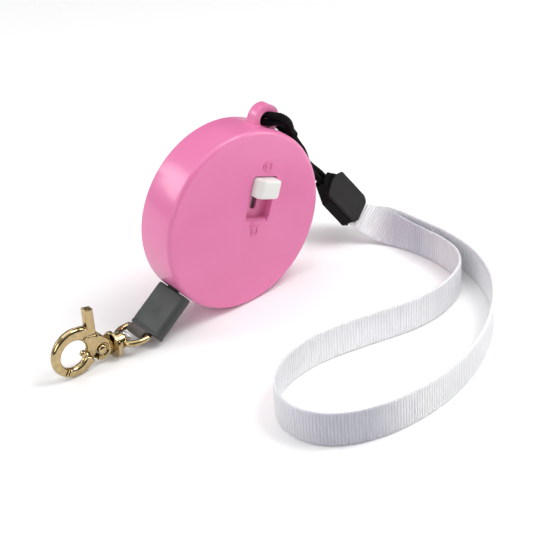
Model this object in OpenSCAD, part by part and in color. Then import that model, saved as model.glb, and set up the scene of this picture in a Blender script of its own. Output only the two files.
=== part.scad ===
// Pocket-size retractable leash: round reel case, slide lock, recoil tape with a swivel
// trigger snap, and a wrist loop of flat webbing on a lanyard cord.
// Millimetres. X is right seen from the front, Y is from the front face to the rear face,
// Z is up. The origin is the centre of the flat rear face. The case stands on its rim.

/* [Case] */
// Outer radius of the round case
case_r = 33; // [32:0.5:34]
// Thickness of the case, front face to rear face
case_t = 16.5; // [16:0.25:17]
// Wall of the case
case_wall = 1.8; // [1.6:0.1:2]
// Softening radius of the front rim
rim_round = 1.6; // [1:0.2:2]
// Softening radius of the rear rim
rear_round = 1.1; // [0.6:0.1:1.1]

/* [Lanyard eye on the rim] */
// Direction of the eye from the case axis, in degrees from +X
tab_dir = 61; // [55:1:68]
// Radius of the eye's round outline
tab_r = 5.3; // [5:0.1:5.6]
// Radius of the hole in the eye
tab_hole_r = 3; // [2.8:0.1:3.2]
// Thickness of the eye
tab_t = 4.2; // [3.6:0.2:4.6]

/* [Slide lock] */
// Direction in which the knob slides to lock, in degrees from +X
lock_dir = 69; // [66:1:72]
// Width of the pocket across the slide
pocket_w = 10.8; // [10:0.2:11.2]
// Length of the pocket along the slide
pocket_l = 15.8; // [15.4:0.2:16.2]
// Depth of the pocket
pocket_d = 3; // [2.6:0.1:3.2]
// Length of the knob along the slide
knob_l = 7; // [6.6:0.2:7.4]
// Height of the knob above the front face
knob_up = 3.6; // [3:0.2:4]

/* [Reel and tape] */
// Outer radius of the reel's drum
drum_r = 15.5; // [15:0.25:16]
// Outer radius of the wound tape
coil_r = 25; // [24:0.25:25.2]
// Radius of the reel's flanges
flange_r = 26; // [25.6:0.1:26]
// Width of the leash tape
tape_w = 6; // [5.6:0.1:6]
// Thickness of the leash tape
tape_t = 0.65; // [0.55:0.05:0.7]

/* [Outlet and end sleeve] */
// Direction in which the tape leaves the case, in degrees from +X
exit_dir = 216; // [215.5:0.5:217]
// Length of the rubber sleeve on the tape's end
sleeve_l = 17.2; // [16.6:0.2:17.2]
// Thickness of the sleeve
sleeve_t = 4.2; // [4:0.1:4.4]

/* [Snap hook] */
// Outer radius of the hook's ring
ring_r = 9.1; // [9:0.1:9.3]
// Radius of the hole in the hook's ring
ring_in_r = 5.1; // [4.9:0.1:5.2]
// Thickness of the hook across its flat side
hook_t = 3; // [2.8:0.1:3.2]
// Radius of the round hub at the trigger's rivet
hub_r = 4.1; // [3.9:0.1:4.2]
// Radius of the swivel flange
collar_r = 4.8; // [4.4:0.1:4.9]

/* [Wrist loop] */
// Width of the webbing
web_w = 12.5; // [12:0.1:12.5]
// Thickness of the webbing
web_t = 1.2; // [1:0.1:1.4]
// Diameter of the lanyard cord
cord_d = 2.6; // [2.4:0.1:2.8]

/* [Hidden] */
$fn = 96;

// Stack along Y, from the rear face at 0 to the front face
mid_y = -case_t / 2;
front_y = -case_t;
inner_r = case_r - case_wall - 0.2;
front_in_y = front_y + case_wall;
lid_t = 1.8;
lid_r = case_r - 1.2;
fit = 0.1;
pocket_y = front_y + pocket_d;
pocket_floor = 1;
pocket_lip = 0.9;
reel_mid_y = -6.9;
flange_t = 0.9;
tape_play = 0.15;
tape_y0 = reel_mid_y - tape_w / 2;
tape_y1 = reel_mid_y + tape_w / 2;
reel_front_y = tape_y0 - tape_play - flange_t;
reel_back_y = tape_y1 + tape_play + flange_t;
washer_t = 0.3;
washer_play = 0.03;
washer_r = 4.4;
arbor_y0 = reel_front_y - washer_play - washer_t;
seat_y = reel_back_y + washer_t + 2 * washer_play;

// Slide lock
lock_c = [7.4, 0, 6.4];
knob_w = pocket_w - 0.8;
lock_travel = pocket_l - knob_l - 0.8;
knob_u = pocket_l / 2 - 0.4 - knob_l / 2;
stem_w = 1.8;
stem_l = 2.4;
stem_x = -0.4;
stem_u = knob_u + 0.4;
slot_w = stem_w + 0.6;
brake_in_r = 21;
brake_out_r = 22.4;
brake_h = 1.7;
brake_gap = 0.06;
leaf_t = 0.2;
leaf_y = pocket_y + pocket_floor + 0.05;
plate_y = leaf_y + leaf_t;
plate_t = 0.75;

// Arbor and power spring
arbor_r = 2.6;
arbor_stub_r = 1.8;
arbor_stub_y = -0.8;
arbor_slit = 0.5;
reel_bore_r = 3;
drum_in_r = drum_r - 1.4;
spring_turns = 8;
spring_t = 0.35;
spring_in_r = 4.1;
spring_out_r = drum_in_r;
spring_w = 5.6;

// Case screws
screw_dirs = [8, 98, 156, 278];
screw_at_r = 28.4;
boss_r = 2.1;
screw_r = 0.8;
screw_head_r = 1.7;
screw_head_t = 1;

// Outlet
guide_in_r = 27.9;
guide_out_r = case_r - 0.4;
guide_neck_r = 31;
guide_h = 6.4;
guide_w = 9.4;
guide_slot_h = 1.8;
pin_r = 0.8;
pin_off = 1.5;
pin_at_r = 29.6;
bend_r = 28.6;
tangent_dir = exit_dir - acos((coil_r + tape_t / 2 + 0.05) / bend_r);

// Sleeve and tape end
sleeve_r0 = case_r + 0.4;
sleeve_r1 = sleeve_r0 + sleeve_l;
sleeve_w = case_t - 0.8;
sleeve_round = 1.6;
sleeve_in_h = 2.6;
sleeve_in_w = 12.6;

// Hook: the hinge bar of the eye, the swivel axis, the rivet and the ring's centre
bar_p = [-44.1, 0, -28.2];
bar_r = 1.1;
loop_r = bar_r + 0.12 + tape_t;
loop_w = 8.6;
rivet_p = [-59.4, 0, -27.2];
ring_p = [-69.3, 0, ring_r - case_r];
hole_p = ring_p + [-0.7, 0, -0.4];
collar_x = -54.5;
collar_t = 1.2;
eye_half = 5.6;
eye_end_x = -52;
eye_boss_r = 3;
eye_boss_l = 2.4;
stem_r = 1.6;
seam_dir = 234;
jaw_end_dir = 322;
jaw_top_dir = 62;
rivet_r = 1.2;
rivet_head_r = 2.4;

// Lanyard clip: its middle and its tilt
clip_p = [54, -8, -16];
clip_tilt = [22, 53, -43];
clip_l = 16.8;
clip_w = 14.4;
clip_t = 5;
clip_face_t = 1.2;

// Lanyard cord: up the rim, a round turn through the eye and back, as points [x, y, z]
tab_at_r = 35.2;
tab_p = [tab_at_r * cos(tab_dir), 0, tab_at_r * sin(tab_dir)];
CORD = [[47.8, -2.6, -9.8], [46.4, -1.4, -7.4], [44.6, -1, -4.8], [41.6, -2.4, -1],
        [38.6, -4.6, 2.8], [36.2, -6.8, 7], [34, -8, 11.6], [31, -8.6, 16.4],
        [28.2, -9.6, 21], [25.8, -12, 25.4], [23, -14.2, 29.4], [20, -14.4, 32.2],
        [18.2, -12.2, 32.6], [17.8, -8.25, 32.1], [18.2, -4.8, 32.4], [20.2, -3.9, 31.2],
        [23, -4.4, 29], [24.8, -6.2, 27.8], [25.2, -8.25, 27.5], [24.6, -10.4, 27.8],
        [22.4, -12, 28.6], [19.6, -12.3, 29.7], [17.3, -11.2, 29.9], [16.4, -8.25, 29.8],
        [16.8, -4.6, 29.7], [18.6, -1.9, 29.4], [21.4, -1.7, 28], [24.8, -3.2, 25],
        [27.8, -5.6, 21.4], [31.2, -5.4, 16.2], [34.2, -4.8, 11.6], [37, -3.4, 7.2],
        [40.2, -1.4, 3], [43.8, 0.4, -1], [46.8, 0.6, -4.4], [48.8, 0.2, -6.8],
        [50, -1, -9.2]];

// Webbing: out of the clip, once round the wrist loop and back, as points [x, y, z, lean].
// Lean 1 is the tilt that the clip gives the webbing, and lean 0 stands on its edge.
WEB = [[56.2, -9.2, -22, 1], [57.6, -10.8, -24, 0.95], [59.6, -14.5, -25.8, 0.8],
       [61.4, -20, -26.5, 0.5], [62.6, -28, -26.7, 0.2], [63.4, -38, -26.7, 0],
       [63.4, -48, -26.7, 0], [61, -58, -26.7, 0], [54, -65.5, -26.7, 0],
       [42, -69.5, -26.7, 0], [28, -69.5, -26.7, 0], [12, -65.5, -26.7, 0],
       [-4, -61.8, -26.7, 0], [-17, -61.5, -26.7, 0], [-29, -65.5, -26.7, 0],
       [-37, -74, -26.7, 0], [-39, -84, -26.7, 0], [-35, -93.5, -26.7, 0],
       [-26, -100.5, -26.7, 0], [-13, -104.5, -26.7, 0], [3, -105.2, -26.7, 0],
       [19, -102.5, -26.7, 0], [34, -96.5, -26.7, 0], [48, -87, -26.7, 0],
       [59, -75, -26.7, 0], [65.5, -61, -26.7, 0], [67.6, -47, -26.7, 0],
       [67, -35, -26.7, 0.05], [65, -24, -26.7, 0.3], [61.6, -14.6, -26.6, 0.7],
       [58.4, -9.4, -25, 0.95], [56.6, -7, -22.8, 1]];
clip_web = [0.843, 0.481, 0.225];
// Band that keeps the cord's two legs together
keeper_p = [28.2, -7.6, 21];

// ---- helpers ----

function flip(p) = [p[0], -p[1]];

// Turns a shape drawn in the XY plane and raised along +Z into the case's frame:
// drawn X stays X, drawn Y becomes Z, and height h runs from y0 towards the rear
module plane(y0, h) {
    translate([0, y0 + h, 0])
        rotate([90, 0, 0])
            linear_extrude(height = h)
                children();
}

// A round bar or disc along Y from y0 to y1
module rod_y(r, y0, y1) {
    translate([0, y1, 0])
        rotate([90, 0, 0])
            cylinder(r = r, h = y1 - y0);
}

// Puts a drawn shape at radius r in direction a, with its own +X pointing outwards
module at_polar(a, r = 0) {
    rotate([0, 0, a])
        translate([r, 0])
            children();
}

// A rectangle with round corners, centred
module round_rect(w, h, r) {
    union() {
        square([w - 2 * r, h], center = true);
        square([w, h - 2 * r], center = true);
        for (sx = [-1, 1], sy = [-1, 1])
            translate([sx * (w / 2 - r), sy * (h / 2 - r)])
                circle(r = r);
    }
}

// A flat arc of a ring, from direction a0 to a1
module arc_2d(r0, r1, a0, a1) {
    steps = 40;
    function at(r, k) = [r * cos(a0 + (a1 - a0) * k / steps), r * sin(a0 + (a1 - a0) * k / steps)];
    intersection() {
        difference() {
            circle(r = r1);
            circle(r = r0);
        }
        polygon(concat([[0, 0]], [for (k = [0:steps]) at(2 * r1, k)]));
    }
}

// The slide lock's own frame: drawn X across the slide, drawn Y along it
module lock_frame() {
    translate([lock_c[0], lock_c[2]])
        rotate([0, 0, lock_dir - 90])
            children();
}

// The outlet's own frame: +X outwards along the tape, +Z along the tape's thickness
module exit_frame() {
    translate([0, reel_mid_y, 0])
        rotate([0, -exit_dir, 0])
            children();
}

// A closed tube along points p with n sides
function unit(v) = v / norm(v);
function tangent(p, i) =
    unit(p[min(i + 1, len(p) - 1)] - p[max(i - 1, 0)]);
module tube(p, r, n) {
    ref = [0.05, 1, 0.1];
    rings = [for (i = [0:len(p) - 1])
        let (t = tangent(p, i), u = unit(cross(t, ref)), w = cross(t, u))
            for (k = [0:n - 1]) p[i] + r * cos(360 * k / n) * u + r * sin(360 * k / n) * w];
    last = len(p) - 1;
    polyhedron(
        points = rings,
        faces = concat(
            [[for (k = [0:n - 1]) k]],
            [[for (k = [n - 1:-1:0]) last * n + k]],
            [for (i = [0:last - 1], k = [0:n - 1])
                let (a = i * n + k, b = i * n + (k + 1) % n)
                    each [[a, a + n, b + n], [a, b + n, b]]]));
}

// Points of a smooth curve through hand-set points, s steps between each pair
function spline_at(p, i, f) =
    let (a = p[max(i - 1, 0)], b = p[i], c = p[i + 1], d = p[min(i + 2, len(p) - 1)])
        0.5 * (2 * b + (c - a) * f + (2 * a - 5 * b + 4 * c - d) * f * f
            + (3 * b - a - 3 * c + d) * f * f * f);
function smooth(p, s) =
    concat([for (i = [0:len(p) - 2], k = [0:s - 1]) spline_at(p, i, k / s)], [p[len(p) - 1]]);

// A flat band along points p = [x, y, z, lean], standing on its edge where lean is 0
function xyz(q) = [q[0], q[1], q[2]];
module band(p, w, t) {
    mids = [for (q = p) xyz(q)];
    last = len(p) - 1;
    corners = [for (i = [0:last])
        let (
            d = tangent(mids, i),
            up = unit(p[i][3] * clip_web + (1 - p[i][3]) * [0, 0, 1]),
            wide = unit(up - (up * d) * d),
            thin = cross(d, wide))
            for (s = [[-1, -1], [1, -1], [1, 1], [-1, 1]])
                mids[i] + s[0] * wide * w / 2 + s[1] * thin * t / 2];
    polyhedron(
        points = corners,
        faces = concat(
            [[0, 1, 2, 3]],
            [[last * 4 + 3, last * 4 + 2, last * 4 + 1, last * 4]],
            [for (i = [0:last - 1], k = [0:3])
                let (a = i * 4 + k, b = i * 4 + (k + 1) % 4)
                    each [[a, a + 4, b + 4], [a, b + 4, b]]]));
}

// ---- case ----

module case_shell_2d() {
    union() {
        circle(r = case_r);
        at_polar(tab_dir)
            translate([case_r - 2, -tab_r])
                square([tab_at_r - case_r + 2, 2 * tab_r]);
        at_polar(tab_dir, tab_at_r)
            circle(r = tab_r);
    }
}

// The cup's outside: a disc with rounded rims
module cup_outside() {
    rotate([90, 0, 0])
        rotate_extrude()
            union() {
                translate([0, rear_round])
                    square([case_r, case_t - rim_round - rear_round]);
                square([case_r - rim_round, case_t]);
                translate([case_r - rim_round, case_t - rim_round])
                    circle(r = rim_round);
                translate([case_r - rear_round, rear_round])
                    circle(r = rear_round);
            }
}

// A padlock outline, raised from the face; an open one has its bow swung aside
module padlock_2d(open) {
    body = [3.4, 2.7];
    line = 0.5;
    shackle_r = 1.3;
    difference() {
        square(body, center = true);
        square(body - 2 * [line, line], center = true);
    }
    translate([open ? 2 : 0, body[1] / 2 - 0.1])
        intersection() {
            difference() {
                circle(r = shackle_r);
                circle(r = shackle_r - line);
            }
            translate([-shackle_r, 0])
                square([2 * shackle_r, shackle_r]);
        }
}

module icons() {
    icon_up = 0.3;
    plane(front_y - icon_up, icon_up + 0.2)
        union() {
            lock_frame()
                translate([0.2, pocket_l / 2 + 3.6])
                    rotate([0, 0, 90])
                        padlock_2d(false);
            lock_frame()
                translate([0.2, -pocket_l / 2 - 4.2])
                    rotate([0, 0, 90])
                        padlock_2d(true);
        }
}

module front_case() {
    color([0.88, 0.5, 0.68])
        difference() {
            union() {
                difference() {
                    union() {
                        cup_outside();
                        plane(mid_y - tab_t / 2, tab_t)
                            difference() {
                                case_shell_2d();
                                circle(r = case_r - 1);
                            }
                        icons();
                    }
                    rod_y(inner_r, front_in_y, 1);
                    rod_y(lid_r + fit, -lid_t, 1);
                    plane(front_y - 1, pocket_d + 1)
                        lock_frame()
                            round_rect(pocket_w, pocket_l, 1.2);
                    // Sloped lip at the pocket's lower end
                    translate([lock_c[0], front_y, lock_c[2]])
                        rotate([0, 90 - lock_dir, 0])
                            translate([0, 0, -pocket_l / 2])
                                rotate([45, 0, 0])
                                    cube([pocket_w - 1, pocket_lip * sqrt(2), pocket_lip * sqrt(2)],
                                         center = true);
                }
                // Floor and walls of the pocket, behind the front wall
                plane(pocket_y, pocket_floor)
                    lock_frame()
                        round_rect(pocket_w + 2, pocket_l + 2, 2);
                plane(front_in_y - 0.1, pocket_y - front_in_y + 0.2)
                    lock_frame()
                        difference() {
                            round_rect(pocket_w + 2, pocket_l + 2, 2);
                            round_rect(pocket_w, pocket_l, 1.2);
                        }
                // Screw bosses
                plane(front_in_y - 0.1, -lid_t - front_in_y + 0.1)
                    for (a = screw_dirs)
                        at_polar(a, screw_at_r)
                            union() {
                                circle(r = boss_r);
                                translate([0, -0.6])
                                    square([3.4, 1.2]);
                            }
            }
            // Lanyard eye's hole
            translate([tab_p[0], 0, tab_p[2]])
                rod_y(tab_hole_r, mid_y - tab_t - 0.8, mid_y + tab_t + 0.8);
            // Slot for the knob's stem
            plane(pocket_y - 1, pocket_floor + 2)
                lock_frame()
                    translate([stem_x, stem_u - lock_travel / 2])
                        round_rect(slot_w, lock_travel + stem_l + 0.6, slot_w / 2 - 0.05);
            // Screw holes
            for (a = screw_dirs)
                translate([screw_at_r * cos(a), 0, screw_at_r * sin(a)])
                    rod_y(screw_r, front_in_y + 2, 1);
            // Window for the outlet
            exit_frame()
                translate([guide_in_r + 2, -guide_w / 2 - fit, -guide_h / 2 - fit])
                    cube([10, guide_w + 2 * fit, guide_h + 2 * fit]);
        }
}

module rear_cover() {
    color([0.86, 0.47, 0.65])
        difference() {
            union() {
                rod_y(lid_r, -lid_t, 0);
                rod_y(arbor_r + 1.4, seat_y, -lid_t + 0.1);
            }
            rod_y(arbor_stub_r, seat_y - 1, arbor_stub_y);
            for (a = screw_dirs)
                translate([screw_at_r * cos(a), 0, screw_at_r * sin(a)]) {
                    rod_y(screw_r + 0.2, -10, 1);
                    rod_y(screw_head_r + fit, -screw_head_t, 1);
                }
        }
}

// A small screw along Y with a cross recess, its head at y0
module screw_y(head_r, head_t, shank_r, shank_l, y0) {
    difference() {
        union() {
            rod_y(head_r, y0 - head_t, y0);
            rod_y(shank_r, y0 - head_t - shank_l, y0 - head_t + 0.1);
        }
        for (s = [[1.8, 0.4], [0.4, 1.8]])
            plane(y0 - 0.5, 1)
                square(s, center = true);
    }
}

module case_screws() {
    color([0.7, 0.7, 0.72])
        for (a = screw_dirs)
            translate([screw_at_r * cos(a), 0, screw_at_r * sin(a)])
                screw_y(screw_head_r, screw_head_t - 0.1, screw_r, 6, -0.1);
}

module outlet_guide() {
    color([0.2, 0.2, 0.21])
        difference() {
            exit_frame()
                difference() {
                    translate([guide_in_r, -guide_w / 2, -guide_h / 2])
                        cube([guide_out_r - guide_in_r, guide_w, guide_h]);
                    translate([guide_in_r - 1, -tape_w / 2 - 0.6, -guide_h / 2 + 0.7])
                        cube([guide_neck_r - guide_in_r + 1, tape_w + 1.2, guide_h - 1.4]);
                    translate([guide_in_r, -tape_w / 2 - 0.4, -guide_slot_h / 2])
                        cube([10, tape_w + 0.8, guide_slot_h]);
                }
            exit_frame()
                for (s = [-1, 1])
                    translate([pin_at_r, 0, s * pin_off])
                        rod_y(pin_r, -guide_w / 2 + 0.5, guide_w / 2 - 0.5);
        }
}

module guide_pins() {
    color([0.75, 0.75, 0.77])
        exit_frame()
            for (s = [-1, 1])
                translate([pin_at_r, 0, s * pin_off])
                    rod_y(pin_r, -guide_w / 2 + 0.5, guide_w / 2 - 0.5);
}

// ---- reel ----

// The fixed post on the rear cover, slit for the spring's inner end
module arbor() {
    color([0.78, 0.62, 0.3])
        difference() {
            union() {
                rod_y(arbor_r, arbor_y0, seat_y);
                rod_y(arbor_stub_r, arbor_y0 + 1, arbor_stub_y);
            }
            translate([0, reel_mid_y - spring_w / 2, -arbor_slit / 2])
                cube([arbor_r + 1, spring_w, arbor_slit]);
        }
}

module reel_washers() {
    color([0.85, 0.85, 0.83])
        for (y = [reel_back_y + washer_play, arbor_y0])
            difference() {
                rod_y(washer_r, y, y + washer_t);
                rod_y(arbor_r, y - 1, y + 1);
            }
}

module reel() {
    color([0.93, 0.93, 0.9])
        difference() {
            union() {
                rod_y(flange_r, reel_back_y - flange_t, reel_back_y);
                rod_y(drum_r, reel_front_y + flange_t, reel_back_y - 0.1);
            }
            rod_y(drum_in_r, reel_front_y - 1, tape_y1);
            rod_y(reel_bore_r, -20, 1);
        }
}

module reel_cover() {
    color([0.9, 0.9, 0.87])
        difference() {
            union() {
                rod_y(flange_r, reel_front_y, reel_front_y + flange_t);
                rod_y(brake_out_r, reel_front_y - brake_h, reel_front_y + 0.1);
            }
            rod_y(brake_in_r, reel_front_y - brake_h - 1, reel_front_y);
            rod_y(reel_bore_r, -20, 1);
        }
}

module power_spring() {
    steps = 24;
    n = spring_turns * steps;
    pitch = (spring_out_r - spring_in_r - spring_t) / n;
    function inner(k) = spring_in_r + pitch * k;
    inside = [for (k = [0:n]) inner(k) * [cos(360 * k / steps), sin(360 * k / steps)]];
    outside = [for (k = [n:-1:0])
        (inner(k) + spring_t) * [cos(360 * k / steps), sin(360 * k / steps)]];
    color([0.45, 0.5, 0.55])
        plane(reel_mid_y - spring_w / 2, spring_w)
            polygon(concat(inside, outside));
}

module tape_coil() {
    color([0.35, 0.34, 0.36])
        difference() {
            rod_y(coil_r, tape_y0, tape_y1);
            rod_y(drum_r, tape_y0 - 1, tape_y1 + 1);
        }
}

// The stretch of tape between the coil and the outlet's mouth
module tape_run() {
    a = (coil_r + tape_t / 2 + 0.05) * [cos(tangent_dir), sin(tangent_dir)];
    b = bend_r * [cos(exit_dir), sin(exit_dir)];
    c = (case_r - 0.1) * [cos(exit_dir), sin(exit_dir)];
    along = unit(b - a);
    out = unit(c - b);
    side = [-along[1], along[0]] * tape_t / 2;
    side_out = [-out[1], out[0]] * tape_t / 2;
    mitre = unit(side + side_out) * tape_t / 2 / cos(acos(along * out) / 2);
    color([0.35, 0.34, 0.36])
        plane(tape_y0, tape_w)
            polygon([a + side, b + mitre, c + side_out, c - side_out, b - mitre, a - side]);
}

// ---- slide lock ----

module lock_knob() {
    grip_y = front_y - knob_up;
    color([0.93, 0.93, 0.91])
        union() {
            difference() {
                plane(grip_y, pocket_y - grip_y - 0.1)
                    lock_frame()
                        translate([0, knob_u])
                            round_rect(knob_w, knob_l, 1.1);
                // Slanted thumb faces on both ends of the grip: side and size
                translate([lock_c[0], 0, lock_c[2]])
                    rotate([0, 90 - lock_dir, 0])
                        for (cut = [[-1, 3.2], [1, 1]])
                            translate([cut[0] * (knob_w / 2 + 0.1), grip_y - 0.1, knob_u])
                                rotate([0, 0, cut[0] * 40])
                                    cube([cut[1], cut[1], knob_l + 2], center = true);
            }
            plane(pocket_y - 0.2, plate_y - pocket_y + 0.2)
                lock_frame()
                    translate([stem_x, stem_u])
                        round_rect(stem_w, stem_l, 0.8);
        }
}

module lock_plate_2d() {
    difference() {
        lock_frame()
            translate([0, knob_u + 0.4])
                round_rect(7.6, 11, 1);
        circle(r = arbor_r + 4);
    }
}

// The pad's face follows the brake ring when the lock is on
module pad_2d() {
    intersection() {
        circle(r = brake_in_r - brake_gap);
        lock_frame()
            translate([0, 13.6])
                square([7, 6], center = true);
    }
}

module lock_plate() {
    color([0.2, 0.2, 0.22])
        plane(plate_y, plate_t)
            difference() {
                intersection() {
                    union() {
                        lock_plate_2d();
                        lock_frame()
                            translate([0, 10.2])
                                square([5, 4], center = true);
                    }
                    circle(r = brake_in_r - 1);
                }
                pad_2d();
            }
}

module brake_pad() {
    color([0.12, 0.12, 0.12])
        plane(plate_y, plate_t)
            pad_2d();
}

// A thin leaf round the stem that drags on the back of the pocket's floor
module detent_spring() {
    color([0.75, 0.75, 0.77])
        plane(leaf_y, leaf_t)
            lock_frame()
                translate([stem_x, stem_u])
                    difference() {
                        round_rect(stem_w + 3.6, stem_l + 4, 0.8);
                        round_rect(stem_w + 1.8, stem_l + 2.2, 0.4);
                    }
}

// ---- tape end, sleeve and swivel ----

// Two layers of tape in the sleeve, opening into a loop round the eye's bar
module tape_lead() {
    end = (sleeve_r1 - 3) * [cos(exit_dir), sin(exit_dir)];
    start = (case_r + 0.1) * [cos(exit_dir), sin(exit_dir)];
    bar = [bar_p[0], bar_p[2]];
    mouth = (sleeve_r1 + 0.2) * [cos(exit_dir), sin(exit_dir)];
    out = unit(end - start);
    side = [-out[1], out[0]] * tape_t;
    toward = unit(bar - mouth);
    across = [-toward[1], toward[0]] * 0.95;
    color([0.35, 0.34, 0.36])
        union() {
            // End of the pulled tape
            plane(tape_y0, tape_w)
                polygon([start + side / 2, start - side / 2, end + out - side / 2, end + out + side / 2]);
            // Wider loop sewn to it, round the eye's bar
            plane(mid_y - loop_w / 2, loop_w)
                difference() {
                    union() {
                        polygon([end - side, mouth - side, bar - across, bar + across,
                                 mouth + side, end + side]);
                        translate(bar)
                            circle(r = loop_r);
                    }
                    translate(bar)
                        circle(r = bar_r + 0.08);
                }
        }
}

// A metal crimp that holds the folded tape end inside the sleeve
module tape_crimp() {
    color([0.75, 0.75, 0.77])
        exit_frame()
            translate([sleeve_r0 + 9, 0, 0])
                difference() {
                    cube([3, tape_w + 1.2, 2.4], center = true);
                    cube([4, tape_w + 0.1, 2 * tape_t + 0.1], center = true);
                }
}

module lead_sleeve() {
    color([0.35, 0.36, 0.35])
        translate([0, mid_y, 0])
            rotate([0, 90 - exit_dir, 0])
                translate([0, 0, sleeve_r0])
                    linear_extrude(height = sleeve_l)
                        difference() {
                            round_rect(sleeve_t, sleeve_w, sleeve_round);
                            round_rect(sleeve_in_h, sleeve_in_w, 1);
                        }
}

// Eye ring lying flat, with its bar in the tape's loop and a bored end for the swivel
module swivel_eye() {
    bend_x = eye_end_x + eye_half;
    color([0.8, 0.65, 0.35])
        translate([0, mid_y, bar_p[2]])
            difference() {
                union() {
                    translate([bar_p[0], 0, 0])
                        rod_y(bar_r, -eye_half, eye_half);
                    for (s = [-1, 1])
                        translate([bar_p[0], s * eye_half, 0]) {
                            sphere(r = bar_r);
                            rotate([0, -90, 0])
                                cylinder(r = bar_r, h = bar_p[0] - bend_x);
                        }
                    intersection() {
                        translate([bend_x, 0, 0])
                            rotate_extrude()
                                translate([eye_half, 0])
                                    circle(r = bar_r);
                        translate([bend_x - 10, -10, -5])
                            cube([10, 20, 10]);
                    }
                    translate([eye_end_x, 0, 0])
                        rotate([0, 90, 0])
                            cylinder(r = eye_boss_r, h = eye_boss_l, center = true);
                }
                translate([eye_end_x, 0, 0])
                    rotate([0, 90, 0])
                        cylinder(r = stem_r + 0.08, h = 10, center = true);
            }
}

// ---- snap hook ----

// A stretch of the ring round the hole, from direction a0 to a1
module jaw_2d(a0, a1) {
    difference() {
        translate([ring_p[0], ring_p[2]])
            arc_2d(ring_in_r - 1.5, ring_r, a0, a1);
        translate([hole_p[0], hole_p[2]])
            circle(r = ring_in_r);
    }
}

// The fixed half: swivel stem, flange, neck, hub and lower jaw
module hook_body() {
    gap = 0.25;
    back_y = mid_y + gap;
    stem_l_x = 5;
    color([0.8, 0.65, 0.35])
        difference() {
            union() {
                translate([collar_x, mid_y, bar_p[2]])
                    rotate([0, 90, 0]) {
                        cylinder(r = collar_r, h = collar_t, center = true);
                        cylinder(r = stem_r, h = stem_l_x);
                        translate([0, 0, stem_l_x - 0.2])
                            cylinder(r = 2.2, h = 1.2);
                        translate([0, 0, -2.9])
                            difference() {
                                cylinder(r = 3.2, h = 2.5);
                                translate([-5, -5 + gap, -1])
                                    cube([10, 5, 5]);
                            }
                    }
                plane(back_y, hook_t / 2 - gap)
                    union() {
                        translate([rivet_p[0], rivet_p[2]])
                            circle(r = hub_r);
                        polygon([[collar_x, bar_p[2] + 4], [collar_x, bar_p[2] - 4],
                                 [rivet_p[0], rivet_p[2] - hub_r], [rivet_p[0] - 2, rivet_p[2] + 3.6],
                                 [rivet_p[0], rivet_p[2] + hub_r]]);
                    }
                // Lower jaw, thick up to the hub and then half thick behind it
                plane(mid_y - hook_t / 2, hook_t)
                    difference() {
                        jaw_2d(seam_dir + 0.6, jaw_end_dir);
                        translate([rivet_p[0], rivet_p[2]])
                            circle(r = hub_r + 0.3);
                    }
                plane(back_y, hook_t / 2 - gap)
                    jaw_2d(jaw_end_dir - 20, jaw_end_dir + 26);
            }
            translate([rivet_p[0], 0, rivet_p[2]])
                rod_y(rivet_r, -30, 10);
        }
}

// The moving half: hub, thumb lever and upper jaw
module trigger() {
    gap = 0.25;
    color([0.82, 0.67, 0.37])
        difference() {
            union() {
                plane(mid_y - hook_t / 2, hook_t / 2 - gap)
                    difference() {
                        union() {
                            translate([rivet_p[0], rivet_p[2]])
                                circle(r = hub_r);
                            translate([rivet_p[0], rivet_p[2]])
                                polygon([[-3.1, -2.4], [2.9, 2.8], [-1.3, 8], [-5.7, 9.6], [-5.7, 2]]);
                            // The ring's inner edge runs on down to the hub
                            jaw_2d(jaw_top_dir - 46, jaw_top_dir);
                        }
                        translate([hole_p[0], hole_p[2]])
                            circle(r = ring_in_r);
                        translate([ring_p[0], ring_p[2]])
                            arc_2d(ring_in_r - 1, ring_r + 1, 282, 340);
                    }
                // Upper jaw, full thickness, clear of the fixed hub
                plane(mid_y - hook_t / 2, hook_t)
                    difference() {
                        jaw_2d(jaw_top_dir - 14, seam_dir - 0.6);
                        translate([rivet_p[0], rivet_p[2]])
                            circle(r = hub_r + 1);
                    }
                // Thumb lever
                plane(mid_y - hook_t / 2, hook_t)
                    translate([rivet_p[0], rivet_p[2]])
                        polygon([[-5.5, 8], [-1.5, 7], [-1.3, 17.2], [-4.5, 18], [-4.7, 11]]);
            }
            translate([rivet_p[0], 0, rivet_p[2]])
                rod_y(rivet_r + 0.06, -30, 10);
        }
}

module hook_rivet() {
    dome_r = 3.4;
    dome_h = 0.9;
    face_y = mid_y - hook_t / 2 - 0.05;
    color([0.8, 0.65, 0.35])
        translate([rivet_p[0], 0, rivet_p[2]])
            union() {
                rod_y(rivet_r, face_y - 0.2, mid_y + hook_t / 2 + 0.2);
                intersection() {
                    translate([0, face_y - dome_h + dome_r, 0])
                        sphere(r = dome_r);
                    rod_y(rivet_head_r, face_y - 2, face_y);
                }
                rod_y(rivet_head_r - 0.4, mid_y + hook_t / 2, mid_y + hook_t / 2 + 0.6);
            }
}

// The small torsion spring round the rivet, between the two hubs
module trigger_spring() {
    color([0.75, 0.75, 0.77])
        translate([rivet_p[0], mid_y, rivet_p[2]])
            rotate([90, 0, 0])
                rotate_extrude()
                    translate([1.9, 0])
                        circle(r = 0.2, $fn = 24);
}

// ---- wrist loop ----

module strap_cord() {
    color([0.06, 0.06, 0.07])
        tube(smooth(CORD, 3), cord_d / 2, 8);
}

// The keeper band that holds the cord's two legs together
module cord_hitch() {
    lean = 149;
    height = 2.4;
    wall = 0.4;
    inside = [cord_d + 0.2, 7];
    color([0.06, 0.06, 0.07])
        translate(keeper_p)
            rotate([0, lean, 0])
                linear_extrude(height = height, center = true)
                    difference() {
                        round_rect(inside[0] + 2 * wall, inside[1] + 2 * wall, cord_d / 2 + wall);
                        round_rect(inside[0], inside[1], cord_d / 2);
                    }
}

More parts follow.
